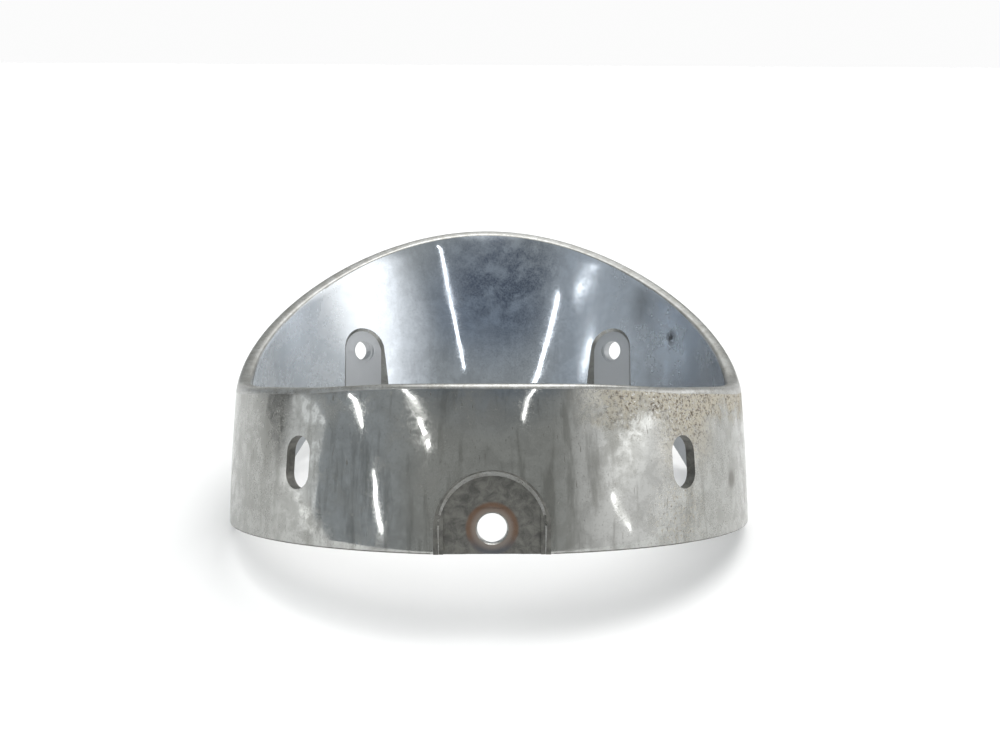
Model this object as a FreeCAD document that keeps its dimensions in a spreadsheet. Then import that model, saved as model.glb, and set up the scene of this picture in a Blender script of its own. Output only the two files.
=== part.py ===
import FreeCAD, Part
import math
import os
import re
import Sketcher

V = FreeCAD.Vector

# Headlight trim ring: one plated casting. The ring's own axis is Z while it is modelled, the front
# of the ring faces -Y and the visor rises at +Y. Lengths are in millimetres, angles in degrees.
SIZES = (
    ("rim_radius", 94.1, "outer radius level with the front rim"),
    ("base_flare", 1.9, "how much larger the radius is at the lower edge"),
    ("rim_shift", 2.9, "how far that circle's centre sits back"),
    ("rim_height", 50.5, "height of the front rim"),
    ("crown_draw", 5.3, "how much smaller the radius is level with the visor's tip"),
    ("crown_shift", 20.2, "how far that circle's centre sits back"),
    ("crown_height", 126.0, "height of that circle"),
    ("wall", 2.6, "wall of the lamp pocket"),
    ("lip_width", 5.8, "thickness of the rim and of the visor's root"),
    ("lip_height", 4.0, "height of the lip over the lamp pocket"),
    ("tip_thinning", 3.2, "how much thinner the visor gets at its tip"),
    ("flat_rim_end", 21.0, "where the front rim starts to turn up, in front of the middle"),
    ("corner_blend", 30.0, "side view radius between the front rim and the visor's edge"),
    ("visor_sweep", 1000.0, "side view radius of the visor's edge"),
    ("visor_overrun", 5.0, "how far that edge's outline runs on behind the visor"),
    ("visor_rise", 126.4, "height where it ends"),
    ("lean_angle", 16.5, "how far the ring leans back where it stands"),
    ("foot_length", 40.0, "length of each side foot along the ring"),
    ("foot_ramp", 49.0, "slope of the foot's rear end"),
    ("arch_height", 28.6, "height of the lower edge behind the feet"),
    ("rim_bevel", 1.2, "bevel of the rim's outer edge"),
    ("mouth_bevel", 0.6, "bevel of the rim's inner edge"),
    ("screw_hole", 9.0, "bore of the clamp screw hole at the front"),
    ("screw_height", 7.6, "height of that hole"),
    ("recess_radius", 17.4, "radius of the recess round the clamp screw, at the surface"),
    ("recess_depth", 1.9, "depth of that recess"),
    ("recess_bevel", 42.0, "slope of its side"),
    ("recess_lean", 3.0, "slope of the recess floor above the screw seat"),
    ("seat_margin", 1.2, "step between the recess side and the screw seat"),
    ("bend_height", 13.9, "height where the recess floor starts to follow the wall"),
    ("backing", 3.4, "extra wall behind the recess"),
    ("slot_angle", 40.0, "side slot, turned from the front"),
    ("slot_width", 10.6, "side slot, across"),
    ("slot_height", 16.8, "side slot, upright"),
    ("slot_centre", 25.6, "height of the side slot's middle"),
    ("boss_angle", 38.0, "visor screw seat, turned from the back"),
    ("boss_centre", 64.0, "height of the visor screw hole"),
    ("boss_hole", 8.4, "bore of the visor screw hole"),
    ("boss_radius", 10.7, "radius of the arched seat round it, at the surface"),
    ("boss_stand_off", 1.5, "how far in front of the wall the seat's cut starts"),
    ("boss_depth", 1.8, "depth of the seat"),
    ("boss_bevel", 40.0, "slope of the seat's side"),
    ("boss_dish", 11.6, "width of the sunk rim round that hole"),
    ("boss_dish_depth", 0.5, "depth of that rim"),
)

NODE = "trim_ring"
LEAST_CHANGE = 0.01  # cubic millimetres
ALIASES = {alias for alias, value, meaning in SIZES}
BASE_RADIUS = "(rim_radius + base_flare)"
CROWN_RADIUS = "(rim_radius - crown_draw)"

doc = FreeCAD.newDocument("HeadlightTrimRing")
sheet = doc.addObject("Spreadsheet::Sheet", "sizes")
for row, (alias, value, meaning) in enumerate(SIZES, start=1):
    sheet.set(f"A{row}", meaning)
    sheet.set(f"B{row}", str(value))
    sheet.setAlias(f"B{row}", alias)
doc.recompute()

body = doc.addObject("PartDesign::Body", NODE)
body.Label = NODE


def size(name):
    """The present value of one size."""
    return float(getattr(sheet, name))


def cell(formula):
    """A formula over size names, with each name pointed at its cell."""
    return re.sub(r"[a-z]+_?[a-z_]*", lambda word: f"sizes.{word[0]}" if word[0] in ALIASES else word[0],
                  formula)


def origin_plane(role):
    return next(feature for feature in body.Origin.OriginFeatures if feature.Role == role)


def new_sketch(name, role, base, turn):
    """A sketch on one of the body's planes, moved and turned, with its moves tied to sizes."""
    sketch = body.newObject("Sketcher::SketchObject", name)
    sketch.AttachmentSupport = [(origin_plane(role), "")]
    sketch.MapMode = "FlatFace"
    sketch.AttachmentOffset = FreeCAD.Placement(V(0, 0, 0), turn)
    for axis, formula in base.items():
        sketch.setExpression(f"AttachmentOffset.Base.{axis}", cell(formula))
    return sketch


def drive(sketch, kind, arguments, formula):
    """A dimension in a sketch, tied to sizes."""
    index = sketch.addConstraint(Sketcher.Constraint(kind, *arguments))
    sketch.setExpression(f"Constraints[{index}]", cell(formula))


def tie(sketch, kind, *arguments):
    sketch.addConstraint(Sketcher.Constraint(kind, *arguments))


def checked(feature, adds):
    """Recompute, and make sure that the feature really added or removed material."""
    base = feature.BaseFeature or (feature.Originals[0] if "Mirrored" in feature.TypeId else None)
    before = base.Shape.Volume if base else 0.0
    doc.recompute()
    change = feature.Shape.Volume - before
    if change * (1 if adds else -1) <= LEAST_CHANGE:
        raise RuntimeError(f"{feature.Name} changed the volume by {change:.3f}")
    return feature


NO_TURN = FreeCAD.Rotation(V(0, 0, 1), 0)
TO_BACK = FreeCAD.Rotation(V(0, 0, 1), 90)


def level_circle(name, height, shift, radius):
    """A level circle round the ring; its seam lies at the back."""
    sketch = new_sketch(name, "XY_Plane", {"y": shift, "z": height}, TO_BACK)
    sketch.addGeometry(Part.Circle(V(0, 0, 0), V(0, 0, 1), size("rim_radius")), False)
    tie(sketch, "Coincident", 0, 3, -1, 1)
    drive(sketch, "Radius", (0, size("rim_radius")), radius)
    return sketch


def loft(kind, name, circles):
    feature = body.newObject(f"PartDesign::{kind}", name)
    feature.Profile = circles[0]
    feature.Sections = circles[1:]
    return checked(feature, kind == "AdditiveLoft")


def pocket(name, sketch, depth, taper="0"):
    feature = body.newObject("PartDesign::Pocket", name)
    feature.Profile = sketch
    feature.setExpression("Length", cell(depth))
    feature.setExpression("TaperAngle", cell(taper))
    return checked(feature, False)


def side_cut(name, sketch):
    """A cut with a side view outline, through the whole width of the ring."""
    feature = body.newObject("PartDesign::Pocket", name)
    feature.Profile = sketch
    feature.SideType = "Symmetric"
    feature.setExpression("Length", cell("4 * rim_radius"))
    return checked(feature, False)


def mirrored(name, original):
    feature = body.newObject("PartDesign::Mirrored", name)
    feature.Originals = [original]
    feature.MirrorPlane = (origin_plane("YZ_Plane"), [""])
    body.Tip = feature
    return checked(feature, False)


# Outer form: level circles that shrink a little upwards and lean back more and more.
loft("AdditiveLoft", "outer_form", [
    level_circle("outer_base", "0", "0", BASE_RADIUS),
    level_circle("outer_rim", "rim_height", "rim_shift", "rim_radius"),
    level_circle("outer_crown", "crown_height", "crown_shift", CROWN_RADIUS),
])

# Rim: level over the front half, then a rounded corner and a long sweep up to the visor's tip.
start = V(-size("flat_rim_end"), size("rim_height"), 0)
reach_formula = f"crown_shift + {CROWN_RADIUS} + visor_overrun"
end_reach = size("crown_shift") + size("rim_radius") - size("crown_draw") + size("visor_overrun")
end = V(end_reach, size("visor_rise"), 0)
blend_centre = start + V(0, size("corner_blend"), 0)
bow = math.dist(start, end) / size("visor_sweep") / 2
chord = math.atan2(end.y - start.y, end.x - start.x) - bow
join = blend_centre + V(math.sin(chord), -math.cos(chord), 0) * size("corner_blend")
sweep_centre = join + V(-math.sin(chord), math.cos(chord), 0) * size("visor_sweep")
front = -2 * size("rim_radius")
top = size("crown_height") + size("rim_radius")

outline = new_sketch("rim_outline", "YZ_Plane", {}, NO_TURN)
blend = Part.ArcOfCircle(Part.Circle(blend_centre, V(0, 0, 1), size("corner_blend")),
                         -math.pi / 2, chord - math.pi / 2)
reach = math.atan2(end.y - sweep_centre.y, end.x - sweep_centre.x)
sweep = Part.ArcOfCircle(Part.Circle(sweep_centre, V(0, 0, 1), size("visor_sweep")),
                         chord - math.pi / 2, reach)
outline.addGeometry([
    Part.LineSegment(V(front, start.y, 0), start),
    blend,
    sweep,
    Part.LineSegment(end, V(end.x, top, 0)),
    Part.LineSegment(V(end.x, top, 0), V(front, top, 0)),
    Part.LineSegment(V(front, top, 0), V(front, start.y, 0)),
], False)
tie(outline, "Tangent", 0, 2, 1, 1)
tie(outline, "Tangent", 1, 2, 2, 1)
tie(outline, "Coincident", 2, 2, 3, 1)
tie(outline, "Coincident", 3, 2, 4, 1)
tie(outline, "Coincident", 4, 2, 5, 1)
tie(outline, "Coincident", 5, 2, 0, 1)
tie(outline, "Horizontal", 0)
tie(outline, "Vertical", 3)
tie(outline, "Horizontal", 4)
tie(outline, "Vertical", 5)
drive(outline, "DistanceY", (-1, 1, 0, 1, start.y), "rim_height")
drive(outline, "DistanceX", (0, 2, -1, 1, -start.x), "flat_rim_end")
drive(outline, "Radius", (1, size("corner_blend")), "corner_blend")
drive(outline, "Radius", (2, size("visor_sweep")), "visor_sweep")
drive(outline, "DistanceX", (-1, 1, 2, 2, end.x), reach_formula)
drive(outline, "DistanceY", (-1, 1, 2, 2, end.y), "visor_rise")
drive(outline, "DistanceX", (0, 1, -1, 1, -front), "2 * rim_radius")
drive(outline, "DistanceY", (-1, 1, 3, 2, top), "crown_height + rim_radius")
side_cut("rim_cut", outline)

# Lower edge behind the middle: a foot on each side that follows the table while the ring leans
# back, then a ramp up to a level edge that meets the table at the very back.
slope = math.radians(size("lean_angle"))
ramp = math.radians(size("foot_ramp"))
foot = V(size("foot_length"), size("foot_length") * math.tan(slope), 0)
arch = V(foot.x + (size("arch_height") - foot.y) / math.tan(ramp), size("arch_height"), 0)
back = 2 * size("rim_radius")
stand = new_sketch("stand_outline", "YZ_Plane", {}, NO_TURN)
corners = [V(0, 0, 0), foot, arch, V(back, arch.y, 0), V(back, 0, 0)]
for index, corner in enumerate(corners):
    stand.addGeometry(Part.LineSegment(corner, corners[(index + 1) % len(corners)]), False)
for index in range(len(corners)):
    tie(stand, "Coincident", index, 2, (index + 1) % len(corners), 1)
tie(stand, "Coincident", 0, 1, -1, 1)
tie(stand, "Horizontal", 2)
tie(stand, "Vertical", 3)
tie(stand, "Horizontal", 4)
drive(stand, "DistanceX", (0, 1, 0, 2, foot.x), "foot_length")
drive(stand, "Angle", (-1, 1, 0, 1, slope), "lean_angle")
drive(stand, "Angle", (-1, 1, 1, 1, ramp), "foot_ramp")
drive(stand, "DistanceY", (-1, 1, 2, 1, arch.y), "arch_height")
drive(stand, "DistanceX", (-1, 1, 2, 2, back), "2 * rim_radius")
side_cut("stand_cut", stand)

# Inside: a throat that leaves the thick rim and visor, and a wider pocket for the lamp under it.
loft("SubtractiveLoft", "throat", [
    level_circle("throat_base", "0", "0", f"{BASE_RADIUS} - lip_width"),
    level_circle("throat_rim", "rim_height", "rim_shift", "rim_radius - lip_width"),
    level_circle("throat_crown", "crown_height", "crown_shift + tip_thinning",
                 f"{CROWN_RADIUS} - lip_width"),
])
ledge = "rim_height - lip_height"
loft("SubtractiveLoft", "lamp_pocket", [
    level_circle("pocket_base", "0", "0", f"{BASE_RADIUS} - wall"),
    level_circle("pocket_ledge", ledge, f"rim_shift * ({ledge}) / rim_height",
                 f"{BASE_RADIUS} - base_flare * ({ledge}) / rim_height - wall"),
])


def outer_wall(shape):
    """The widest curved face: the outside of the ring."""
    curved = [face for face in shape.Faces if "BSpline" in str(face.Surface)]
    return max(curved, key=lambda face: face.BoundBox.XLength)


def throat_wall(shape):
    """The curved face inside the visor: the highest one that isn't the outside."""
    curved = [face for face in shape.Faces if "BSpline" in str(face.Surface)]
    curved.sort(key=lambda face: face.BoundBox.XLength)
    high = [face for face in curved[:-1] if face.BoundBox.ZMax > size("rim_height") + size("wall")]
    return high[-1]


def edges_above(shape, face, height):
    """Names of the face's edges that lie wholly above a height."""
    names = []
    for edge in face.Edges:
        if edge.BoundBox.ZMin > height:
            number = next(i for i, other in enumerate(shape.Edges, start=1) if other.isSame(edge))
            names.append(f"Edge{number}")
    return sorted(set(names))


def bevel(name, wall_face, width):
    """Bevel the edges of one wall that run round the rim and the visor."""
    previous = body.Tip
    level = size("rim_height") - size("lip_height") / 2
    feature = body.newObject("PartDesign::Chamfer", name)
    feature.Base = (previous, edges_above(previous.Shape, wall_face(previous.Shape), level))
    feature.setExpression("Size", cell(width))
    return checked(feature, False)


bevel("rim_edge", outer_wall, "rim_bevel")
bevel("mouth_edge", throat_wall, "mouth_bevel")


def arch_outline(sketch, radius, legs):
    """An arch round the sketch's origin: a half circle on two legs that run down."""
    width = size("boss_radius")
    drop = size("boss_radius")
    sketch.addGeometry([
        Part.ArcOfCircle(Part.Circle(V(0, 0, 0), V(0, 0, 1), width), 0, math.pi),
        Part.LineSegment(V(-width, 0, 0), V(-width, -drop, 0)),
        Part.LineSegment(V(-width, -drop, 0), V(width, -drop, 0)),
        Part.LineSegment(V(width, -drop, 0), V(width, 0, 0)),
    ], False)
    tie(sketch, "Coincident", 0, 3, -1, 1)
    tie(sketch, "Coincident", 0, 2, 1, 1)
    tie(sketch, "Coincident", 1, 2, 2, 1)
    tie(sketch, "Coincident", 2, 2, 3, 1)
    tie(sketch, "Coincident", 3, 2, 0, 1)
    tie(sketch, "PointOnObject", 1, 1, -1)
    tie(sketch, "PointOnObject", 3, 2, -1)
    tie(sketch, "Vertical", 1)
    tie(sketch, "Vertical", 3)
    tie(sketch, "Horizontal", 2)
    drive(sketch, "Radius", (0, width), radius)
    drive(sketch, "DistanceY", (1, 2, -1, 1, drop), legs)


def round_outline(sketch, bore):
    sketch.addGeometry(Part.Circle(V(0, 0, 0), V(0, 0, 1), size("screw_hole") / 2), False)
    tie(sketch, "Coincident", 0, 3, -1, 1)
    drive(sketch, "Diameter", (0, size("screw_hole")), bore)


def slot_outline(sketch, width, height):
    """An upright slot with round ends, centred on the sketch's origin."""
    side = size("slot_width") / 2
    half = (size("slot_height") - size("slot_width")) / 2
    sketch.addGeometry([
        Part.ArcOfCircle(Part.Circle(V(0, half, 0), V(0, 0, 1), side), 0, math.pi),
        Part.LineSegment(V(-side, half, 0), V(-side, -half, 0)),
        Part.ArcOfCircle(Part.Circle(V(0, -half, 0), V(0, 0, 1), side), math.pi, 2 * math.pi),
        Part.LineSegment(V(side, -half, 0), V(side, half, 0)),
    ], False)
    tie(sketch, "Tangent", 0, 2, 1, 1)
    tie(sketch, "Tangent", 1, 2, 2, 1)
    tie(sketch, "Tangent", 2, 2, 3, 1)
    tie(sketch, "Tangent", 3, 2, 0, 1)
    tie(sketch, "Vertical", 1)
    tie(sketch, "PointOnObject", 0, 3, -2)
    tie(sketch, "Symmetric", 0, 3, 2, 3, -1, 1)
    drive(sketch, "Radius", (0, side), f"{width} / 2")
    drive(sketch, "DistanceY", (2, 3, 0, 3, 2 * half), f"{height} - {width}")


# Front, round the clamp screw: more metal inside, and an arched recess outside that is open below.
backing = new_sketch("backing_outline", "XZ_Plane",
                     {"y": "screw_height", "z": f"{BASE_RADIUS} - wall - backing"}, NO_TURN)
arch_outline(backing, "recess_radius", "screw_height")
pad = body.newObject("PartDesign::Pad", "screw_backing")
pad.Profile = backing
pad.setExpression("Length", cell("backing + wall / 2"))
checked(pad, True)

leaning = new_sketch("recess_outline", "XZ_Plane", {"y": "screw_height", "z": BASE_RADIUS},
                     FreeCAD.Rotation(V(1, 0, 0), -size("recess_lean")))
arch_outline(leaning, "recess_radius", "2 * screw_height")
pocket("screw_recess", leaning, "recess_depth", "recess_bevel")

seat = new_sketch("seat_outline", "XZ_Plane", {"y": "bend_height", "z": BASE_RADIUS}, NO_TURN)
seat_half = "(recess_radius - recess_depth * tan(recess_bevel) - seat_margin)"
wide = size("recess_radius")
deep = size("bend_height")
seat.addGeometry([
    Part.LineSegment(V(-wide, 0, 0), V(-wide, -deep, 0)),
    Part.LineSegment(V(-wide, -deep, 0), V(wide, -deep, 0)),
    Part.LineSegment(V(wide, -deep, 0), V(wide, 0, 0)),
    Part.LineSegment(V(wide, 0, 0), V(-wide, 0, 0)),
], False)
for index in range(4):
    tie(seat, "Coincident", index, 2, (index + 1) % 4, 1)
tie(seat, "Vertical", 0)
tie(seat, "Horizontal", 1)
tie(seat, "Vertical", 2)
tie(seat, "Symmetric", 0, 1, 3, 1, -1, 1)
drive(seat, "DistanceX", (1, 1, 1, 2, 2 * wide), f"2 * {seat_half}")
drive(seat, "DistanceY", (0, 2, 0, 1, deep), "2 * bend_height")
pocket("screw_seat", seat, "recess_depth + bend_height * tan(recess_lean)")

bore = new_sketch("screw_outline", "XZ_Plane", {"y": "screw_height", "z": BASE_RADIUS}, NO_TURN)
round_outline(bore, "screw_hole")
pocket("screw_bore", bore, "wall + 4 * backing")

# Sides of the front half: an upright slot square to the wall, and its mirror image.
slot = new_sketch("slot_outline", "XZ_Plane",
                  {"x": f"{BASE_RADIUS} * sin(slot_angle)", "y": "slot_centre",
                   "z": f"{BASE_RADIUS} * cos(slot_angle)"},
                  FreeCAD.Rotation(V(0, 1, 0), size("slot_angle")))
slot_outline(slot, "slot_width", "slot_height")
mirrored("slot_pair", pocket("side_slot", slot, "4 * wall"))

# Visor: a flat arched seat sunk into the inside of the wall on each side, with its screw hole.
inner = "(rim_radius - lip_width - boss_stand_off)"
seat_place = {"x": f"- {inner} * sin(boss_angle)", "y": "boss_centre",
              "z": f"- rim_shift - {inner} * cos(boss_angle)"}
seat_turn = FreeCAD.Rotation(V(0, 1, 0), size("boss_angle"))
arch = new_sketch("boss_outline", "XZ_Plane", seat_place, seat_turn)
arch_outline(arch, "boss_radius + boss_stand_off * tan(boss_bevel)", "boss_centre - arch_height")
mirrored("boss_pair", pocket("boss_seat", arch, "boss_stand_off + boss_depth", "boss_bevel"))

hole = new_sketch("boss_hole_outline", "XZ_Plane", seat_place, seat_turn)
round_outline(hole, "boss_hole")
mirrored("boss_hole_pair", pocket("boss_bore", hole, "4 * lip_width"))

dish = new_sketch("boss_dish_outline", "XZ_Plane", seat_place, seat_turn)
round_outline(dish, "boss_dish")
mirrored("boss_dish_pair",
         pocket("boss_dish_cut", dish, "boss_stand_off + boss_depth + boss_dish_depth"))

# Rest: the ring stands on its feet and leans back; the middle of its outline is over the origin.
body.Placement = FreeCAD.Placement(V(0, 0, 0), FreeCAD.Rotation(V(1, 0, 0), -size("lean_angle")))
doc.recompute()
box = body.Shape.optimalBoundingBox(False, False)
body.Placement.Base = V(-box.Center.x, -box.Center.y, -box.ZMin)
doc.recompute()

for thing in doc.Objects:
    if {"Invalid", "Error"} & set(thing.State):
        raise RuntimeError(f"{thing.Name} failed: {thing.State}")
shape = body.Shape
if shape.isNull() or not shape.isValid() or len(shape.Solids) != 1:
    raise RuntimeError("the ring isn't one valid solid")

print(f"volume {shape.Volume:.0f} mm3, lowest point was {box.ZMin:.3f}, moved {-box.Center.y:.3f}")
print(f"size {box.XLength:.2f} x {box.YLength:.2f} x {box.ZLength:.2f}")
os.makedirs("parts", exist_ok=True)
shape.exportStep(f"parts/{body.Label}.step")
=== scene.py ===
import math

import bmesh
import bpy
import numpy as np
from mathutils import Matrix, Vector

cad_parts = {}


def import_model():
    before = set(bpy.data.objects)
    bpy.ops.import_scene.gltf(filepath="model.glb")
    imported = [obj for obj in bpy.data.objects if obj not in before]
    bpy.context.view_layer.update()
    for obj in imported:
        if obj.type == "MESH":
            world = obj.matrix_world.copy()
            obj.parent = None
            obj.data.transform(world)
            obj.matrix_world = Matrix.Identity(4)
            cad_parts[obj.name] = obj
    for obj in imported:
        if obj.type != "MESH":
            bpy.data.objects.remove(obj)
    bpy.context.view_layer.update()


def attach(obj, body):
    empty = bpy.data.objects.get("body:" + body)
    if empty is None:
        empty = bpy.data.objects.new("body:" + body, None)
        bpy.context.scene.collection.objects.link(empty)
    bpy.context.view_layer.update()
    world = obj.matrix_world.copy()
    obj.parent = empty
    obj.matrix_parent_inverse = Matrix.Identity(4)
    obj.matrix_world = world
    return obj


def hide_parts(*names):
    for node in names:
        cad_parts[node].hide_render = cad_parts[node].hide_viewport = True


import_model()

# Sizes of the casting in millimetres and degrees, in the ring's own frame: its axis is Z, the front
# faces -Y and the visor rises at +Y. Heights run up the ring's axis.
BASE_RADIUS = 96.0
RIM_RADIUS, RIM_SHIFT, RIM_HEIGHT = 94.1, 2.9, 50.5
CROWN_RADIUS, CROWN_SHIFT, CROWN_HEIGHT = 88.8, 20.2, 126.0
WALL = 2.6
LIP_WIDTH, LIP_HEIGHT, TIP_THINNING = 5.8, 4.0, 3.2
FLAT_RIM_END, CORNER_BLEND, VISOR_SWEEP = 21.0, 30.0, 1000.0
VISOR_REACH, VISOR_RISE = 114.0, 126.4
LEAN = 16.5
# The leaned ring is moved so that the frame's origin lies under the middle of its box.
BACK_SHIFT = 22.875
FOOT_LENGTH, FOOT_RAMP, ARCH_HEIGHT = 40.0, 49.0, 28.6
SCREW_HOLE, SCREW_HEIGHT = 9.0, 7.6
RECESS_RADIUS, RECESS_DEPTH, RECESS_BEVEL, RECESS_LEAN = 17.4, 1.9, 42.0, 3.0
SEAT_MARGIN, BEND_HEIGHT, BACKING = 1.2, 13.9, 3.4
SLOT_ANGLE, SLOT_WIDTH, SLOT_HEIGHT, SLOT_CENTRE = 40.0, 10.6, 16.8, 25.6
BOSS_ANGLE, BOSS_CENTRE, BOSS_HOLE, BOSS_RADIUS = 38.0, 64.0, 8.4, 10.7
BOSS_STAND_OFF, BOSS_DEPTH, BOSS_BEVEL = 1.5, 1.8, 40.0
BOSS_DISH, BOSS_DISH_DEPTH = 11.6, 0.5
# The front rim is a little lower beside its middle than in it.
RIM_DIP = 1.5
DIP_FROM_MIDDLE, DIP_FROM_END = (-89.0, -70.0), (-8.0, -42.0)
# Above its hole a seat's floor follows the visor's own slope.
BOSS_LEAN = 9.0
# How far edges are rounded: the outer lower edge, the ledge's edge and the pocket's lower edge.
FOOT_ROUND, LEDGE_ROUND, POCKET_ROUND = 0.8, 0.3, 0.4
SCREW_BEVEL, DISH_TAPER = 0.4, 0.6
# How far cutters stand out of the metal, and how deep they go where they cut right through.
OVERCUT, SEAT_OVERCUT, BOSS_OVERCUT = 2.0, 1.0, 6.0
SCREW_CUT, SLOT_CUT, BOSS_CUT = 14.0, 10.0, 20.0
ARCH_OVERLAP = 0.3

# Rows of points up each wall, and columns round the ring.
OUTSIDE_ROWS, THROAT_ROWS, POCKET_ROWS = 34, 24, 22
COLUMNS, QUICK_COLUMNS = 720, 360
MEETING_STEPS = 60
SHARP_ANGLE = 28

# Camera, measured in the ring's own frame in millimetres: it looks level along the ring's +Y.
CAMERA_PLACE = (-3.7, -418.8, 53.0)
CAMERA_TURN = 1.06
CAMERA_PIXELS = 1100.0
IMAGE_WIDTH = 1000.0
SENSOR_WIDTH = 36.0


SHARED_FRAME = (Matrix.Scale(0.001, 4) @ Matrix.Translation((0, -BACK_SHIFT, 0))
                @ Matrix.Rotation(math.radians(-LEAN), 4, "X"))


def tan(degrees):
    return math.tan(math.radians(degrees))


def sin(degrees):
    return math.sin(math.radians(degrees))


def cos(degrees):
    return math.cos(math.radians(degrees))


def through_three(height, base, rim, crown):
    """The curve through a value at the base, the rim and the crown of the ring."""
    a = (height - RIM_HEIGHT) * (height - CROWN_HEIGHT) / (RIM_HEIGHT * CROWN_HEIGHT)
    b = height * (height - CROWN_HEIGHT) / (RIM_HEIGHT * (RIM_HEIGHT - CROWN_HEIGHT))
    c = height * (height - RIM_HEIGHT) / (CROWN_HEIGHT * (CROWN_HEIGHT - RIM_HEIGHT))
    return base * a + rim * b + crown * c


def outside(turn, height):
    """Points of the outer wall; turn runs round the ring from the back."""
    radius = through_three(height, BASE_RADIUS, RIM_RADIUS, CROWN_RADIUS)
    shift = through_three(height, 0.0, RIM_SHIFT, CROWN_SHIFT)
    return np.stack([radius * np.sin(turn), shift + radius * np.cos(turn), height], axis=-1)


def throat(turn, height):
    """Points of the inner wall above the ledge."""
    radius = through_three(height, BASE_RADIUS, RIM_RADIUS, CROWN_RADIUS) - LIP_WIDTH
    shift = through_three(height, 0.0, RIM_SHIFT, CROWN_SHIFT + TIP_THINNING)
    return np.stack([radius * np.sin(turn), shift + radius * np.cos(turn), height], axis=-1)


LEDGE = RIM_HEIGHT - LIP_HEIGHT


def lamp_pocket(turn, height):
    """Points of the inner wall below the ledge."""
    share = height / RIM_HEIGHT
    radius = BASE_RADIUS - (BASE_RADIUS - RIM_RADIUS) * share - WALL
    return np.stack([radius * np.sin(turn), RIM_SHIFT * share + radius * np.cos(turn), height],
                    axis=-1)


def visor_edge():
    """The side view of the visor's edge: the corner arc's and the long sweep's centres and join."""
    start = np.array([-FLAT_RIM_END, RIM_HEIGHT])
    end = np.array([VISOR_REACH, VISOR_RISE])
    blend_centre = start + np.array([0.0, CORNER_BLEND])
    # The sweep's centre is the sum of both radii away from the blend's, and its own from the end.
    gap = end - blend_centre
    length = np.hypot(*gap)
    far, near = VISOR_SWEEP, VISOR_SWEEP - CORNER_BLEND
    along = (near ** 2 - far ** 2 + length ** 2) / (2 * length)
    aside = math.sqrt(near ** 2 - along ** 2)
    direction = gap / length
    sweep_centre = blend_centre + direction * along + np.array([-direction[1], direction[0]]) * aside
    join = blend_centre + (blend_centre - sweep_centre) / near * CORNER_BLEND
    return start, blend_centre, sweep_centre, join


EDGE_START, BLEND_CENTRE, SWEEP_CENTRE, EDGE_JOIN = visor_edge()


def ease(value, low, high):
    """A smooth step from 0 at one level to 1 at another."""
    share = np.clip((value - low) / (high - low), 0, 1)
    return share * share * (3 - 2 * share)


def rim_level(y):
    """Height of the rim over a point's place from front to back."""
    in_blend = np.clip(CORNER_BLEND ** 2 - (y - BLEND_CENTRE[0]) ** 2, 0, None)
    in_sweep = np.clip(VISOR_SWEEP ** 2 - (y - SWEEP_CENTRE[0]) ** 2, 0, None)
    level = np.where(y < EDGE_START[0], RIM_HEIGHT,
                     np.where(y < EDGE_JOIN[0], BLEND_CENTRE[1] - np.sqrt(in_blend),
                              SWEEP_CENTRE[1] - np.sqrt(in_sweep)))
    return level - RIM_DIP * ease(y, *DIP_FROM_MIDDLE) * ease(y, *DIP_FROM_END)


def foot_level(y):
    """Height of the lower edge: level in front, along the table on the feet, level at the back."""
    foot_end = FOOT_LENGTH * tan(LEAN)
    ramp = foot_end + (y - FOOT_LENGTH) * tan(FOOT_RAMP)
    return np.clip(np.where(y < FOOT_LENGTH, y * tan(LEAN), ramp), 0.0, ARCH_HEIGHT)


def meet(wall, level, turn):
    """Where a wall meets a level that depends on y."""
    height = np.full_like(turn, RIM_HEIGHT)
    for _ in range(MEETING_STEPS):
        height = 0.5 * height + 0.5 * level(wall(turn, height)[..., 1])
    return height


def unit(v):
    return v / np.maximum(np.linalg.norm(v, axis=-1, keepdims=True), 1e-9)


def rounded(corner, before, after, reach, rows):
    """Rows of points that round a corner between two neighbouring points."""
    a = corner + unit(before - corner) * reach
    b = corner + unit(after - corner) * reach
    out = []
    for t in np.linspace(0, 1, rows):
        out.append((1 - t) ** 2 * a + 2 * t * (1 - t) * corner + t ** 2 * b)
    return out


def span(wall, turn, low, high, rows):
    """Rows along a wall from one height to another, ends left out."""
    out = []
    for t in np.linspace(0, 1, rows + 2)[1:-1]:
        out.append(wall(turn, low + (high - low) * t))
    return out


def rim_rounding(sideways):
    """How far the rim's outer edge is rounded: most at the ring's sides."""
    return 1.7 + 1.6 * sideways ** 4


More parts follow.
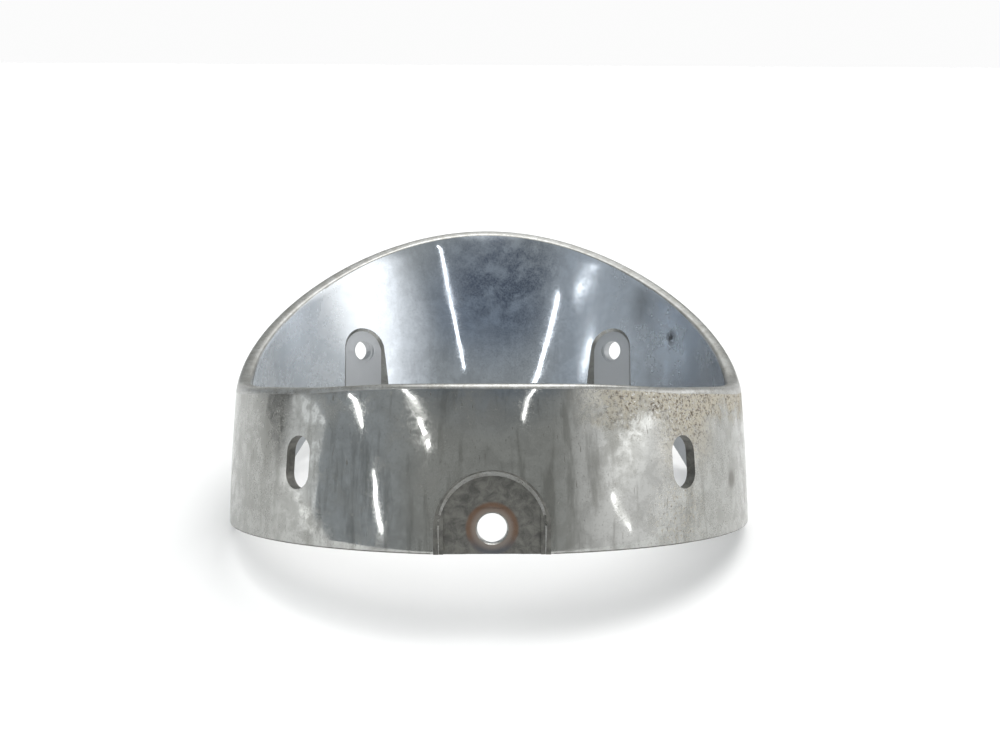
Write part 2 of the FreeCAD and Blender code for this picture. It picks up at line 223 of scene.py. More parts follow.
def ring_rows(columns):
    """The ring's section, walked once round the wall, as rows of points round the ring."""
    turn = np.linspace(0, 2 * math.pi, columns, endpoint=False)
    low_out = meet(outside, foot_level, turn)
    low_in = meet(lamp_pocket, foot_level, turn)
    top_out = meet(outside, rim_level, turn)
    top_in = meet(throat, rim_level, turn)
    ledge = np.full_like(turn, LEDGE)
    lower_edge = outside(turn, low_out)
    rim_edge = outside(turn, top_out)
    mouth_edge = throat(turn, top_in)
    ledge_edge = throat(turn, ledge)
    ledge_root = lamp_pocket(turn, ledge)
    inner_edge = lamp_pocket(turn, low_in)
    sideways = np.abs(np.sin(turn))[:, None]
    thickness = np.linalg.norm(rim_edge - mouth_edge, axis=-1, keepdims=True)
    rim_reach = np.minimum(rim_rounding(sideways), thickness - 0.9)
    mouth_reach = np.minimum(0.7 + 1.5 * sideways ** 6, thickness - rim_reach - 0.15)
    rows = rounded(lower_edge, inner_edge, outside(turn, low_out + 2), FOOT_ROUND, 5)
    rows += span(outside, turn, low_out + 1.4, top_out - 3.2, OUTSIDE_ROWS)
    rows += rounded(rim_edge, outside(turn, top_out - 2), mouth_edge, rim_reach, 8)
    rows += rounded(mouth_edge, rim_edge, throat(turn, top_in - 2), mouth_reach, 6)
    rows += span(throat, turn, np.maximum(top_in - 2.6, ledge + 1.0), ledge + 0.4, THROAT_ROWS)
    rows += rounded(ledge_edge, throat(turn, ledge + 2), ledge_root, LEDGE_ROUND, 3)
    rows += [ledge_edge + (ledge_root - ledge_edge) * 0.5, ledge_root]
    rows += span(lamp_pocket, turn, ledge - 0.2, low_in + 0.8, POCKET_ROWS)
    rows += rounded(inner_edge, lamp_pocket(turn, low_in + 2), lower_edge, POCKET_ROUND, 3)
    return rows


def mesh_from_rows(name, rows):
    """A closed skin over rows of points: round the ring one way and round its section the other."""
    count, columns = len(rows), rows[0].shape[0]
    points = np.concatenate(rows)
    faces = []
    for i in range(count):
        for j in range(columns):
            a, b = i * columns, ((i + 1) % count) * columns
            k = (j + 1) % columns
            faces.append((a + j, b + j, b + k, a + k))
    mesh = bpy.data.meshes.new(name)
    mesh.from_pydata(points.tolist(), [], faces)
    mesh.update()
    return mesh


def add_object(name, data):
    """An object in the scene for a mesh, a lamp or a camera."""
    obj = bpy.data.objects.new(name, data)
    bpy.context.scene.collection.objects.link(obj)
    return obj


def prism(name, lower, upper):
    """A solid between two outlines with as many points each."""
    mesh = bmesh.new()
    a = [mesh.verts.new(p) for p in lower]
    b = [mesh.verts.new(p) for p in upper]
    mesh.faces.new(a[::-1])
    mesh.faces.new(b)
    for i in range(len(a)):
        k = (i + 1) % len(a)
        mesh.faces.new((a[i], a[k], b[k], b[i]))
    bmesh.ops.recalc_face_normals(mesh, faces=mesh.faces)
    data = bpy.data.meshes.new(name)
    mesh.to_mesh(data)
    mesh.free()
    return add_object(name, data)


def arch_points(radius, legs, segments=48):
    """A half circle on two straight legs."""
    points = [(radius * math.cos(math.pi * i / segments), radius * math.sin(math.pi * i / segments))
              for i in range(segments + 1)]
    return points + [(-radius, -legs), (radius, -legs)]


def circle_points(radius, segments=64):
    return [(radius * math.cos(2 * math.pi * i / segments), radius * math.sin(2 * math.pi * i / segments))
            for i in range(segments)]


def slot_points(width, height, segments=24):
    """An upright slot with round ends."""
    half = (height - width) / 2
    radius = width / 2
    arc = [math.pi * i / segments for i in range(segments + 1)]
    upper = [(radius * math.cos(t), half + radius * math.sin(t)) for t in arc]
    lower = [(-radius * math.cos(t), -half - radius * math.sin(t)) for t in arc]
    return upper + lower


class Plane:
    """A sketch plane that faces out of the ring: x to its right, y up, depth into the ring."""

    def __init__(self, place, turn=0.0, lean=0.0):
        self.frame = (Matrix.Translation(Vector(place)) @ Matrix.Rotation(math.radians(turn), 4, "Z")
                      @ Matrix.Rotation(math.radians(-lean), 4, "X"))

    def points(self, outline, depth):
        return [self.frame @ Vector((x, depth, y)) for x, y in outline]


def cutters():
    """Everything that is cut out of the ring, as separate solids."""
    out = []
    front = Plane((0, -BASE_RADIUS, SCREW_HEIGHT))
    leaning = Plane((0, -BASE_RADIUS, SCREW_HEIGHT), lean=RECESS_LEAN)
    spread = tan(RECESS_BEVEL)
    legs = 20
    out.append(prism("recess",
                     leaning.points(arch_points(RECESS_RADIUS + OVERCUT * spread, legs), -OVERCUT),
                     leaning.points(arch_points(RECESS_RADIUS - RECESS_DEPTH * spread, legs),
                                    RECESS_DEPTH)))
    half = RECESS_RADIUS - RECESS_DEPTH * spread - SEAT_MARGIN
    seat = [(-half, -BEND_HEIGHT), (half, -BEND_HEIGHT), (half, BEND_HEIGHT - SCREW_HEIGHT),
            (-half, BEND_HEIGHT - SCREW_HEIGHT)]
    seat_depth = RECESS_DEPTH + BEND_HEIGHT * tan(RECESS_LEAN)
    out.append(prism("seat", front.points(seat, -SEAT_OVERCUT), front.points(seat, seat_depth)))
    hole = SCREW_HOLE / 2
    out.append(prism("screw", front.points(circle_points(hole), -OVERCUT),
                     front.points(circle_points(hole), SCREW_CUT)))
    cone = 3 * SCREW_BEVEL
    out.append(prism("screw_edge",
                     front.points(circle_points(hole + cone), seat_depth + SCREW_BEVEL - cone),
                     front.points(circle_points(hole), seat_depth + SCREW_BEVEL)))
    for side in (-1, 1):
        angle = side * SLOT_ANGLE
        plane = Plane((BASE_RADIUS * sin(angle), -BASE_RADIUS * cos(angle), SLOT_CENTRE), turn=angle)
        slot = slot_points(SLOT_WIDTH, SLOT_HEIGHT)
        out.append(prism("slot", plane.points(slot, -OVERCUT), plane.points(slot, SLOT_CUT)))
        reach = RIM_RADIUS - LIP_WIDTH - BOSS_STAND_OFF
        turn = -side * BOSS_ANGLE
        centre = (side * reach * sin(BOSS_ANGLE), RIM_SHIFT + reach * cos(BOSS_ANGLE), BOSS_CENTRE)
        plane = Plane(centre, turn=turn)
        along_wall = Plane(centre, turn=turn, lean=BOSS_LEAN)
        legs = BOSS_CENTRE - ARCH_HEIGHT
        floor = BOSS_STAND_OFF + BOSS_DEPTH
        narrow = BOSS_RADIUS - BOSS_DEPTH * tan(BOSS_BEVEL)
        wide = BOSS_RADIUS + BOSS_STAND_OFF * tan(BOSS_BEVEL)
        out.append(prism("boss", plane.points(arch_points(wide, legs), 0.0),
                         plane.points(arch_points(narrow, legs), floor)))
        top = arch_points(wide, ARCH_OVERLAP)
        out.append(prism("boss_top", along_wall.points(top, -BOSS_OVERCUT),
                         along_wall.points(top, 0.0)))
        out.append(prism("boss_top", along_wall.points(top, 0.0),
                         along_wall.points(arch_points(narrow, ARCH_OVERLAP), floor)))
        dish_floor = circle_points(BOSS_DISH / 2 - DISH_TAPER)
        out.append(prism("dish", plane.points(circle_points(BOSS_DISH / 2), 0.0),
                         plane.points(dish_floor, floor + BOSS_DISH_DEPTH)))
        bore = circle_points(BOSS_HOLE / 2)
        out.append(prism("bore", plane.points(bore, 0.0), plane.points(bore, BOSS_CUT)))
    return out


def backing():
    """The metal that is added inside, behind the screw recess."""
    plane = Plane((0, -(BASE_RADIUS - WALL - BACKING), SCREW_HEIGHT))
    outline = arch_points(RECESS_RADIUS, SCREW_HEIGHT - 0.05)
    return prism("backing", plane.points(outline, 0.0), plane.points(outline, -(BACKING + WALL / 2)))


def boolean(obj, other, operation):
    modifier = obj.modifiers.new(other.name, "BOOLEAN")
    modifier.operation = operation
    modifier.object = other
    modifier.solver = "EXACT"


def bake(obj):
    """Apply all modifiers of an object to its mesh."""
    depsgraph = bpy.context.evaluated_depsgraph_get()
    mesh = bpy.data.meshes.new_from_object(obj.evaluated_get(depsgraph))
    old = obj.data
    obj.modifiers.clear()
    obj.data = mesh
    bpy.data.meshes.remove(old)


def build_ring():
    """The whole casting as one mesh in the shared frame."""
    columns = COLUMNS
    ring = add_object("ring_shell", mesh_from_rows("ring_shell", ring_rows(columns)))
    tools = cutters()
    extra = backing()
    boolean(ring, extra, "UNION")
    for tool in tools:
        boolean(ring, tool, "DIFFERENCE")
    bake(ring)
    for tool in tools + [extra]:
        bpy.data.objects.remove(tool)
    ring.data.transform(SHARED_FRAME)
    return ring


def smooth(mesh, degrees):
    """Shade a mesh smooth, with sharp edges where it turns by more than an angle."""
    mesh.shade_smooth()
    mesh.set_sharp_from_angle(angle=math.radians(degrees))


# Finishes, in the order of the ring's materials.
OUTSIDE, INSIDE, SUNK, RIM, LAMP_SIDE = range(5)
# A face whose middle is this near a wall, or this far out of a sunk floor, belongs to it.
ON_WALL, OFF_FLOOR = 0.06, 0.05
# How far the rim's finish reaches down and in, and round the screw hole.
RIM_BAND, RIM_DEPTH, HOLE_BAND = 0.8, 2.0, 1.25


def zone(point):
    """Which finish a point of the ring has."""
    x, y, z = point
    radius = through_three(z, BASE_RADIUS, RIM_RADIUS, CROWN_RADIUS)
    from_outside = radius - math.hypot(x, y - through_three(z, 0.0, RIM_SHIFT, CROWN_SHIFT))
    inner = math.hypot(x, y - through_three(z, 0.0, RIM_SHIFT, CROWN_SHIFT + TIP_THINNING))
    from_throat = inner - (radius - LIP_WIDTH)
    below_rim = float(rim_level(np.array([y]))[0]) - z
    sideways = abs(x) / BASE_RADIUS
    if below_rim < rim_rounding(sideways) and from_outside < RIM_DEPTH or below_rim < RIM_BAND:
        return RIM
    if from_outside < ON_WALL:
        return OUTSIDE
    if from_throat < ON_WALL and z > LEDGE:
        return INSIDE
    rise = z - SCREW_HEIGHT
    seat_face = RECESS_DEPTH + BEND_HEIGHT * tan(RECESS_LEAN) - BASE_RADIUS
    if seat_face + OFF_FLOOR < y < -80 and math.hypot(x, rise) < SCREW_HOLE / 2 + HOLE_BAND:
        return RIM
    if y < seat_face + 0.15 and abs(x) < RECESS_RADIUS + 1:
        spread = abs(x) if rise < 0 else math.hypot(x, rise)
        floor_radius = RECESS_RADIUS - RECESS_DEPTH * tan(RECESS_BEVEL)
        return RIM if spread > floor_radius + OFF_FLOOR else SUNK
    aside = abs(x) * cos(BOSS_ANGLE) - (y - RIM_SHIFT) * sin(BOSS_ANGLE)
    outwards = abs(x) * sin(BOSS_ANGLE) + (y - RIM_SHIFT) * cos(BOSS_ANGLE)
    rise = z - BOSS_CENTRE
    seat = RIM_RADIUS - LIP_WIDTH + BOSS_DEPTH + max(rise, 0.0) * tan(BOSS_LEAN)
    if abs(aside) < BOSS_RADIUS + 2 and outwards < seat + 0.2:
        spread = abs(aside) if rise < 0 else math.hypot(aside, rise)
        floor_radius = BOSS_RADIUS - BOSS_DEPTH * tan(BOSS_BEVEL)
        return RIM if spread > floor_radius + OFF_FLOOR else SUNK
    # Faces cut through the wall, and faces above the ledge, take the dark finish of the sunk floors.
    cut_through = ON_WALL < from_outside < WALL - ON_WALL
    return SUNK if z > LEDGE + 1 or cut_through else LAMP_SIDE


class Nodes:
    """A node tree that is filled with one node after another."""

    def __init__(self, tree):
        self.tree = tree
        self.tree.nodes.clear()

    def add(self, kind, settings=None, **inputs):
        node = self.tree.nodes.new(kind)
        for name, value in (settings or {}).items():
            setattr(node, name, value)
        for name, value in inputs.items():
            self.put(node.inputs[name.replace("_", " ")], value)
        return node

    def put(self, socket, value):
        """Link a socket to another, or set its value."""
        if isinstance(value, bpy.types.NodeSocket):
            self.tree.links.new(value, socket)
        elif isinstance(value, (tuple, list)) and socket.type == "RGBA":
            socket.default_value = (*value, 1.0)
        else:
            socket.default_value = value

    def math(self, operation, a, b=0.0):
        node = self.add("ShaderNodeMath", {"operation": operation})
        self.put(node.inputs[0], a)
        self.put(node.inputs[1], b)
        return node.outputs[0]

    def times(self, *factors):
        result = factors[0]
        for factor in factors[1:]:
            result = self.math("MULTIPLY", result, factor)
        return result

    def soft(self, value, low, high, start=0.0, end=1.0):
        """A smooth step of a value from one level to another."""
        node = self.add("ShaderNodeMapRange", {"interpolation_type": "SMOOTHSTEP"}, Value=value)
        for name, number in (("From Min", low), ("From Max", high), ("To Min", start), ("To Max", end)):
            node.inputs[name].default_value = number
        return node.outputs["Result"]

    def noise(self, where, scale, detail=3.0, roughness=0.55, distortion=0.0):
        return self.add("ShaderNodeTexNoise", Vector=where, Scale=scale, Detail=detail,
                        Roughness=roughness, Distortion=distortion).outputs["Fac"]

    def stretched(self, where, scale):
        return self.add("ShaderNodeMapping", Vector=where, Scale=scale).outputs["Vector"]

    def split(self, vector):
        node = self.add("ShaderNodeSeparateXYZ", Vector=vector)
        return node.outputs["X"], node.outputs["Y"], node.outputs["Z"]

    def colour(self, factor, a, b):
        node = self.add("ShaderNodeMix", {"data_type": "RGBA"})
        self.put(node.inputs["Factor"], factor)
        self.put(node.inputs[6], a)
        self.put(node.inputs[7], b)
        return node.outputs[2]

    def blend(self, factor, a, b):
        node = self.add("ShaderNodeMix", {"data_type": "FLOAT"})
        self.put(node.inputs["Factor"], factor)
        self.put(node.inputs[2], a)
        self.put(node.inputs[3], b)
        return node.outputs[0]

    def near(self, place, point, inner, outer):
        """1 close to a point of the ring, 0 away from it."""
        gap = self.add("ShaderNodeVectorMath", {"operation": "DISTANCE"})
        self.put(gap.inputs[0], place)
        self.put(gap.inputs[1], point)
        return self.soft(gap.outputs["Value"], inner, outer, 1.0, 0.0)


class Shader(Nodes):
    """A material's nodes."""

    def __init__(self, name):
        self.material = bpy.data.materials.new(name)
        self.material.use_nodes = True
        super().__init__(self.material.node_tree)
        self.output = self.add("ShaderNodeOutputMaterial")
        self.coords = self.add("ShaderNodeTexCoord").outputs["Object"]

    def in_ring(self):
        """Coordinates in the ring's own frame, in millimetres."""
        node = self.add("ShaderNodeMapping", Vector=self.coords, Scale=(1000.0, 1000.0, 1000.0),
                        Rotation=(math.radians(LEAN), 0.0, 0.0),
                        Location=(0.0, BACK_SHIFT * cos(LEAN), BACK_SHIFT * sin(LEAN)))
        return node.outputs["Vector"]

    def surface(self, **inputs):
        node = self.add("ShaderNodeBsdfPrincipled", **inputs)
        self.put(self.output.inputs["Surface"], node.outputs["BSDF"])
        return self.material

    def bumped(self, strength, distance, height, **inputs):
        """A surface with a fine bump, whose distance is in metres."""
        bump = self.add("ShaderNodeBump", Strength=strength, Distance=distance, Height=height)
        return self.surface(Normal=bump.outputs["Normal"], **inputs)

    def coat(self, factor, look, colour, metallic, rough):
        """Another look laid over one; a look is a colour, a metallic share and a roughness."""
        under_colour, under_metallic, under_rough = look
        if metallic is not None:
            under_metallic = self.blend(factor, under_metallic, metallic)
        over_colour = self.colour(factor, under_colour, colour)
        return over_colour, under_metallic, self.blend(factor, under_rough, rough)


# Colours of the metal, of what lies on it, and of the painted shade and painted reflection laid into it.
PLATE_OUTSIDE, FILM_OUTSIDE = (0.45, 0.455, 0.44), (0.25, 0.25, 0.226)
PLATE_INSIDE, FILM_INSIDE = (0.58, 0.63, 0.69), (0.40, 0.43, 0.46)
# The second colour here darkens scratches and a smudge, and also paints the shade under the rim's lip.
PIT, DARK_MARK_AND_SHADE, SCRAPE = (0.10, 0.10, 0.095), (0.085, 0.075, 0.06), (0.05, 0.05, 0.055)
CRUST, CRUST_SPECK, SCUFF = (0.44, 0.405, 0.33), (0.075, 0.052, 0.034), (0.28, 0.28, 0.26)
# The first colour here paints a dark blue reflection into the visor; the second is for fine specks.
PAINTED_BLUE_REFLECTION, PEPPER = (0.12, 0.15, 0.21), (0.17, 0.20, 0.24)
VEIL_LEFT, VEIL_RIGHT = (0.70, 0.73, 0.75), (0.46, 0.50, 0.54)
SUNK_DARK, SUNK_LIGHT, VISOR_SEAT = (0.10, 0.10, 0.092), (0.20, 0.197, 0.18), (0.44, 0.455, 0.47)
RUST, RUST_BELOW, WORN_RING = (0.13, 0.072, 0.042), (0.075, 0.08, 0.09), (0.23, 0.20, 0.175)
RIM_BRIGHT, RIM_DULL, RIM_GRIME = (0.41, 0.415, 0.405), (0.30, 0.298, 0.28), (0.20, 0.185, 0.16)
CASTING_PALE, CASTING_DARK = (0.40, 0.40, 0.39), (0.31, 0.31, 0.30)
PAPER, CARD_DARK, CARD_PALE = (0.87, 0.87, 0.865), (0.05, 0.05, 0.05), (0.08, 0.08, 0.08)

# Where single marks and the painted reflection lie, in the ring's own frame.
SMUDGE_PLACE, SAND_PLACE = (80.5, -50.0, 18.0), (59.0, -75.0, 9.0)
BLUE_REFLECTION_PLACE, PEPPER_PLACE = (8.0, 100.0, 98.0), (18.0, 94.0, 76.0)
SCRAPE_PLACE = (77.5, 46.5, 69.0)
WASHER_PLACE = (0.0, -93.4, SCREW_HEIGHT)


def plating(s, place, tint, film, gloss, haze):
    """Worn bright plating: reflective metal under a thin uneven film of grime."""
    broad = s.noise(place, 0.045, 4.0, 0.6)
    blotch = s.noise(place, 0.16, 5.0, 0.65, 0.25)
    front = s.soft(s.split(place)[1], -5.0, -35.0)
    speckle = s.noise(place, 1.3, 3.0, 0.7)
    brushed = s.noise(s.stretched(place, (0.35, 0.35, 2.6)), 1.0, 4.0, 0.7)
    dirt = s.times(s.soft(broad, 0.34, 0.7), s.soft(blotch, 0.40, 0.60))
    dirt = s.math("ADD", s.times(dirt, haze), s.times(s.soft(speckle, 0.55, 0.72), haze * 0.8))
    dirt = s.times(s.math("MINIMUM", dirt, 0.9), s.blend(front, 0.4, 1.0))
    metal = s.colour(s.soft(blotch, 0.36, 0.64), tint, tuple(0.82 * c for c in tint))
    drips = s.noise(s.stretched(place, (0.24, 0.24, 0.03)), 1.0, 4.0, 0.6)
    drips = s.times(s.soft(drips, 0.48, 0.68, 0.0, 0.5), s.blend(front, 0.3, 1.0))
    metal = s.colour(drips, metal, tuple(0.6 * c for c in film))
    pits = s.soft(s.noise(place, 2.1, 2.0, 0.6), 0.66, 0.72)
    metal = s.colour(s.times(pits, 0.8), metal, PIT)
    shine = s.soft(brushed, 0.35, 0.75, gloss, gloss + 0.05)
    look = s.coat(dirt, (metal, 1.0, shine), film, 0.6, 0.42)
    return look, front, blotch


def outside_finish():
    s = Shader("plating_outside")
    place = s.in_ring()
    x, y, z = s.split(place)
    look, front, blotch = plating(s, place, PLATE_OUTSIDE, FILM_OUTSIDE, 0.035, 0.5)
    # Pale scuffs at the left end and a dull edge at both ends.
    scuff = s.soft(s.noise(place, 0.13, 6.0, 0.8, 0.5), 0.42, 0.58)
    scuff = s.times(s.soft(x, -66.0, -72.0), scuff, front)
    ends = s.soft(s.math("ABSOLUTE", x), 50.0, 80.0)
    ends = s.times(ends, front, s.soft(blotch, 0.3, 0.7, 0.45, 0.75))
    pale = s.math("MAXIMUM", s.times(scuff, 0.75), ends)
    look = s.coat(pale, look, SCUFF, 0.45, 0.38)
    # A few thin scratches, painted shade in a line under the rim's lip at the left, and a smudge at the
    # right end.
    scratched = s.soft(s.noise(s.stretched(place, (1.5, 1.5, 0.09)), 1.0, 2.0, 0.5), 0.715, 0.735)
    # Painted shade: a dark line under the rim's lip at the left end.
    lip_shade = s.times(s.soft(z, 46.6, 48.0), s.soft(x, -77.0, -72.0), s.soft(x, -44.0, -52.0), front)
    smudge = s.near(place, SMUDGE_PLACE, 1.5, 4.5)
    marks_and_lip_shade = s.math("MAXIMUM", s.times(scratched, 0.7),
                   s.math("MAXIMUM", s.times(lip_shade, 0.75), s.times(smudge, 0.6)))
    look = s.coat(marks_and_lip_shade, look, DARK_MARK_AND_SHADE, None, 0.5)
    # A tan crust with dark specks hangs from the rim at the right and runs down towards the slot.
    ragged = s.noise(place, 0.11, 6.0, 0.75, 0.8)
    drop = s.math("ADD", z, s.times(s.math("SUBTRACT", ragged, 0.5), 38.0))
    hang = s.times(s.soft(drop, 36.0, 46.0), s.soft(x, 20.0, 42.0), front)
    run = s.soft(s.math("ABSOLUTE", s.math("SUBTRACT", x, 62.0)), 3.0, 14.0, 1.0, 0.0)
    run = s.times(run, s.soft(drop, 16.0, 38.0), front)
    crust = s.math("MINIMUM", s.math("ADD", hang, s.times(run, 0.9)), 1.0)
    grit = s.noise(place, 1.3, 4.0, 0.75)
    crust = s.times(crust, s.soft(grit, 0.36, 0.50))
    sand = s.times(s.near(place, SAND_PLACE, 5.0, 17.0), s.soft(grit, 0.52, 0.60), 0.75)
    crust = s.math("MAXIMUM", crust, sand)
    specks = s.soft(s.noise(place, 0.8, 6.0, 0.85), 0.515, 0.56)
    colour, metallic, rough = s.coat(crust, look, s.colour(specks, CRUST, CRUST_SPECK), 0.0, 0.9)
    height = s.math("ADD", s.times(blotch, 0.10), s.times(crust, grit, 0.9))
    height = s.math("ADD", height, s.times(s.noise(place, 0.05, 2.0), 1.2))
    return s.bumped(0.15, 0.0006, height, Base_Color=colour, Metallic=metallic, Roughness=rough)


def inside_finish():
    s = Shader("plating_inside")
    place = s.in_ring()
    x = s.split(place)[0]
    look, _, blotch = plating(s, place, PLATE_INSIDE, FILM_INSIDE, 0.03, 0.34)
    # A painted reflection of something dark blue in the middle of the visor, and fine specks that fade
    # outwards.
    blue_reflection = s.near(place, BLUE_REFLECTION_PLACE, 8.0, 38.0)
    smoke = s.noise(place, 0.08, 7.0, 0.75, 0.1)
    blue_reflection = s.times(blue_reflection, s.soft(smoke, 0.38, 0.58))
    grain = s.soft(s.noise(place, 1.2, 4.0, 0.8), 0.44, 0.60)
    blue_reflection = s.math("MINIMUM", s.times(blue_reflection, s.math("ADD", s.times(grain, 0.75), 0.4)), 0.9)
    colour, metallic, rough = s.coat(blue_reflection, look, PAINTED_BLUE_REFLECTION, None, 0.2)
    peppered = s.times(s.near(place, PEPPER_PLACE, 10.0, 46.0),
                       s.soft(s.noise(place, 2.4, 3.0, 0.7), 0.54, 0.62), 0.55)
    look = s.colour(peppered, colour, PEPPER), metallic, rough
    # A pale veil of haze over the left end, a thinner one over the right.
    left = s.times(s.soft(x, -22.0, -72.0), s.soft(smoke, 0.25, 0.7, 0.75, 1.0), 0.85)
    right = s.times(s.soft(x, 20.0, 66.0), s.soft(smoke, 0.30, 0.70, 0.45, 1.0), 0.8)
    look = s.coat(left, look, VEIL_LEFT, 0.45, 0.34)
    look = s.coat(right, look, VEIL_RIGHT, 0.6, 0.36)
    scrape = s.near(place, SCRAPE_PLACE, 0.5, 4.6)
    scrape = s.times(scrape, s.soft(s.noise(place, 0.5, 4.0, 0.7, 1.0), 0.42, 0.52))
    colour, metallic, rough = s.coat(scrape, look, SCRAPE, None, 0.5)
    height = s.math("ADD", s.times(blotch, 0.05), s.times(s.noise(place, 0.05, 2.0), 0.5))
    return s.bumped(0.14, 0.0006, height, Base_Color=colour, Metallic=metallic, Roughness=rough)


def sunk_finish():
    s = Shader("sunk_floors")
    place = s.in_ring()
    _, y, z = s.split(place)
    blotch = s.noise(place, 0.3, 5.0, 0.7, 0.5)
    grit = s.noise(place, 2.2, 4.0, 0.75)
    base = s.colour(s.soft(blotch, 0.32, 0.68), SUNK_DARK, SUNK_LIGHT)
    base = s.colour(s.soft(y, -10.0, 10.0), base, VISOR_SEAT)
    # Rust ring that a washer has left round the clamp screw, worn off next to the hole.
    washer = s.times(s.near(place, WASHER_PLACE, 7.3, 8.3), s.soft(grit, 0.25, 0.42))
    worn = s.times(s.near(place, WASHER_PLACE, 5.2, 7.0), 0.75)
    below = s.soft(z, SCREW_HEIGHT - 1.0, SCREW_HEIGHT - 7.0)
    colour = s.colour(s.times(washer, 0.9), base, s.colour(below, RUST, RUST_BELOW))
    return s.bumped(0.3, 0.0003, grit, Base_Color=s.colour(worn, colour, WORN_RING),
                    Metallic=s.blend(washer, 0.75, 0.25),
                    Roughness=s.soft(grit, 0.3, 0.7, 0.36, 0.6))


def rim_finish():
    s = Shader("rim_band")
    place = s.in_ring()
    blotch = s.noise(place, 0.22, 5.0, 0.7, 0.6)
    grit = s.noise(place, 1.6, 4.0, 0.7)
    colour = s.colour(s.soft(blotch, 0.35, 0.65), RIM_BRIGHT, RIM_DULL)
    smudge = s.times(s.soft(grit, 0.5, 0.66), 0.5)
    return s.bumped(0.2, 0.0003, blotch, Base_Color=s.colour(smudge, colour, RIM_GRIME), Metallic=0.85,
                    Roughness=s.soft(grit, 0.3, 0.7, 0.24, 0.42))


def lamp_side_finish():
    s = Shader("lamp_side")
    grit = s.noise(s.in_ring(), 0.9, 5.0, 0.7)
    return s.bumped(0.1, 0.0003, grit, Metallic=0.9, Roughness=0.3,
                    Base_Color=s.colour(s.soft(grit, 0.3, 0.7), CASTING_PALE, CASTING_DARK))


def finish_ring(ring):
    for make in (outside_finish, inside_finish, sunk_finish, rim_finish, lamp_side_finish):
        ring.data.materials.append(make())
    back = SHARED_FRAME.inverted()
    for polygon in ring.data.polygons:
        polygon.material_index = zone(back @ polygon.center)


def one_face(name, corners):
    mesh = bpy.data.meshes.new(name)
    mesh.from_pydata(corners, [], [(0, 1, 2, 3)])
    return mesh


FLOOR_HALF = 12.0


def floor():
    """A pale paper floor that runs on to where the backdrop takes over."""
    half = FLOOR_HALF
    mesh = one_face("floor", [(-half, -half, 0), (half, -half, 0), (half, half, 0), (-half, half, 0)])
    s = Shader("floor_paper")
    grain = s.noise(s.coords, 700.0, 2.0)
    mesh.materials.append(s.bumped(0.04, 0.0003, grain, Base_Color=PAPER, Roughness=0.85))
    return add_object("floor", mesh)


def camera():
    data = bpy.data.cameras.new("camera")
    data.sensor_width = SENSOR_WIDTH
    data.lens = CAMERA_PIXELS * SENSOR_WIDTH / IMAGE_WIDTH
    data.clip_start = 0.01
    obj = add_object("camera", data)
    upright = Matrix.Rotation(math.radians(90), 4, "X")
    turned = Matrix.Rotation(math.radians(-CAMERA_TURN), 4, "Z")
    lean = Matrix.Rotation(math.radians(-LEAN), 4, "X")
    place = SHARED_FRAME @ Vector(CAMERA_PLACE)
    obj.matrix_world = Matrix.Translation(place) @ lean @ turned @ upright
    bpy.context.scene.camera = obj


# Lamps and cards stand round this point, in metres.
RING_MIDDLE = Vector((0.0, 0.0, 0.045))
TUBE_DISTANCE, WALL_DISTANCE, CARD_DISTANCE = 2.4, 0.7, 1.1


def bearing(azimuth, elevation):
    """A direction in the room: azimuth 0 points at the camera's side and 90 to the right."""
    return Vector((sin(azimuth) * cos(elevation), -cos(azimuth) * cos(elevation), sin(elevation)))


def sun(name, azimuth, elevation, angle, strength):
    """A lamp far away, as wide as an angle."""
    data = bpy.data.lights.new(name, "SUN")
    data.energy = strength
    data.angle = math.radians(angle)
    obj = add_object(name, data)
    obj.matrix_world = bearing(azimuth, elevation).to_track_quat("Z", "Y").to_matrix().to_4x4()
    return obj


def dark_card(name, azimuth, low, high, width, distance):
    """A dark upright card beside the ring that shows in the plating alone."""
    middle = RING_MIDDLE + bearing(azimuth, 0.0) * distance
    side = Vector((cos(azimuth), sin(azimuth), 0.0)) * distance * tan(width / 2)
    lower, upper = Vector((0, 0, distance * tan(low))), Vector((0, 0, distance * tan(high)))
    mesh = one_face(name, [middle - side + lower, middle + side + lower, middle + side + upper,
                           middle - side + upper])
    s = Shader(name)
    grain = s.noise(s.coords, 3.0, 2.0)
    mesh.materials.append(s.surface(Base_Color=s.colour(grain, CARD_DARK, CARD_PALE), Roughness=0.9))
    card = add_object(name, mesh)
    card.visible_camera = False
    card.visible_shadow = False
    card.visible_diffuse = False
    return card


def panel(name, start, end, width, radiance, distance=TUBE_DISTANCE):
    """A soft light that shows in the plating between two directions, as wide as an angle."""
    a, b = bearing(*start), bearing(*end)
    middle = (a + b).normalized()
    along = (b - a).normalized()
    length = 2 * distance * math.tan(math.acos(a.dot(b)) / 2)
    across = 2 * distance * tan(width / 2)
    data = bpy.data.lights.new(name, "AREA")
    data.shape = "RECTANGLE"
    data.size, data.size_y = length, across
    data.energy = radiance * math.pi * length * across
    obj = add_object(name, data)
    x_axis = (along - middle * along.dot(middle)).normalized()
    y_axis = middle.cross(x_axis)
    turn = Matrix((x_axis, y_axis, middle)).transposed().to_4x4()
    obj.matrix_world = Matrix.Translation(RING_MIDDLE + middle * distance) @ turn
    return obj


# Colours of the room that the plating reflects, and of the backdrop that the camera sees.
ROOM, ROOM_BEHIND_CAMERA, ROOM_LEFT = (0.42, 0.43, 0.42), (0.25, 0.285, 0.33), (0.45, 0.485, 0.515)
ROOM_RIGHT, ROOM_WINDOW, ROOM_OVERHEAD = (1.15, 1.15, 1.15), (2.3, 2.3, 2.3), (2.4, 2.4, 2.4)
BACKDROP = (0.97, 0.97, 0.97)


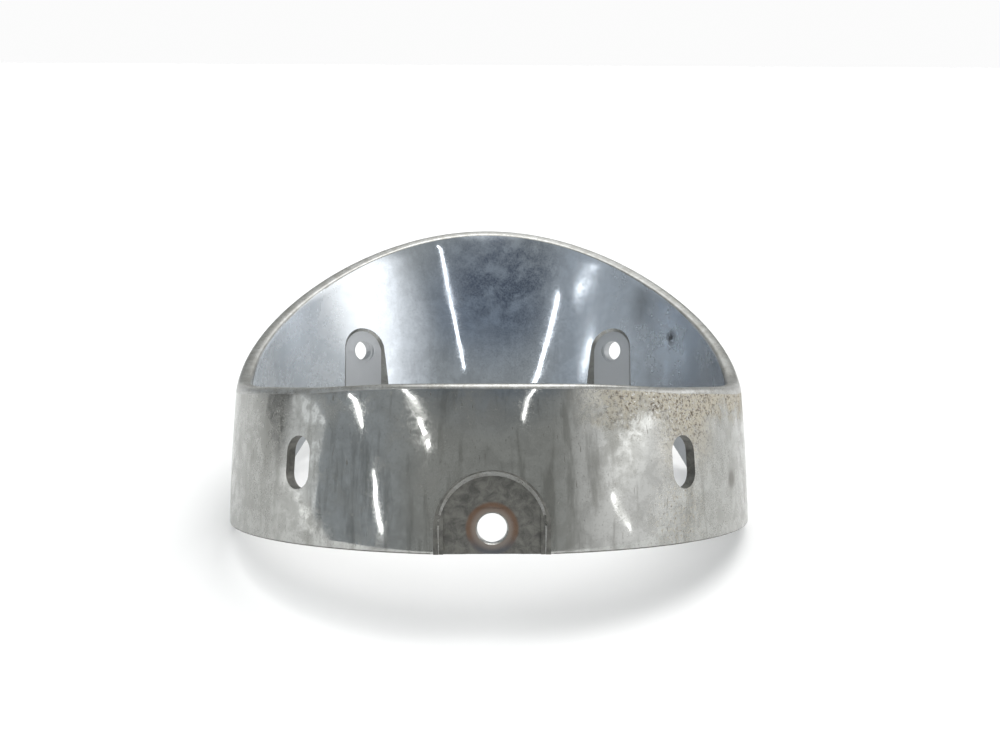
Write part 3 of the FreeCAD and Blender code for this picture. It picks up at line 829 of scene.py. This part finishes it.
def world():
    """A room that shows only in reflections and fill light, and a pale backdrop for the camera."""
    data = bpy.data.worlds.new("studio")
    bpy.context.scene.world = data
    data.use_nodes = True
    s = Nodes(data.node_tree)
    output = s.add("ShaderNodeOutputWorld")
    x, y, z = s.split(s.add("ShaderNodeTexCoord").outputs["Generated"])
    behind_camera = s.soft(y, -0.35, -0.8)
    high = s.soft(z, 0.42, 0.64)
    overhead = s.soft(z, 0.82, 0.95)
    right = s.times(s.soft(x, 0.40, 0.86), s.soft(z, 0.66, 0.52))
    window = s.times(s.soft(x, 0.70, 0.93), s.soft(z, 0.12, 0.28), s.soft(z, 0.66, 0.52))
    left = s.soft(x, -0.4, -0.8)
    colour = s.colour(s.times(behind_camera, high), ROOM, ROOM_BEHIND_CAMERA)
    for share, part in ((left, ROOM_LEFT), (right, ROOM_RIGHT), (window, ROOM_WINDOW),
                        (overhead, ROOM_OVERHEAD)):
        colour = s.colour(share, colour, part)
    room = s.add("ShaderNodeBackground", Color=colour)
    backdrop = s.add("ShaderNodeBackground", Color=BACKDROP)
    path = s.add("ShaderNodeLightPath")
    mix = s.add("ShaderNodeMixShader", Fac=path.outputs["Is Camera Ray"])
    s.put(mix.inputs[1], room.outputs["Background"])
    s.put(mix.inputs[2], backdrop.outputs["Background"])
    s.put(output.inputs["Surface"], mix.outputs["Shader"])


ring = build_ring()
ring.name = "ring_surface"
smooth(ring.data, SHARP_ANGLE)
finish_ring(ring)
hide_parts("trim_ring")
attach(ring, "root")

bpy.context.scene.view_settings.view_transform = "Standard"
camera()
world()
# Each panel runs from one azimuth and elevation to another, then come its width and its radiance.
lamps = [
    sun("overhead", 150, 66, 50, 1.35),
    panel("tube_left", (-51, 37), (-27, 23), 1.2, 8.5),
    panel("tube_right", (45, 52), (15, 29), 1.1, 6.0),
    panel("tube_far_left", (-67, 22), (-57, 18.5), 1.1, 9.0),
    panel("tube_low_left", (-50, 14), (-44, 6.5), 1.1, 9.0),
    panel("tube_low_right", (51, 10), (58, 3), 0.8, 4.0),
    panel("window_left", (-79, 30), (-61, 32.5), 2.2, 3.0),
    panel("wall_left", (-91, 4), (-71, 4), 17, 0.75, WALL_DISTANCE),
]
cards = [dark_card("card_left", -101, -16, 14, 17, CARD_DISTANCE)]
floor()
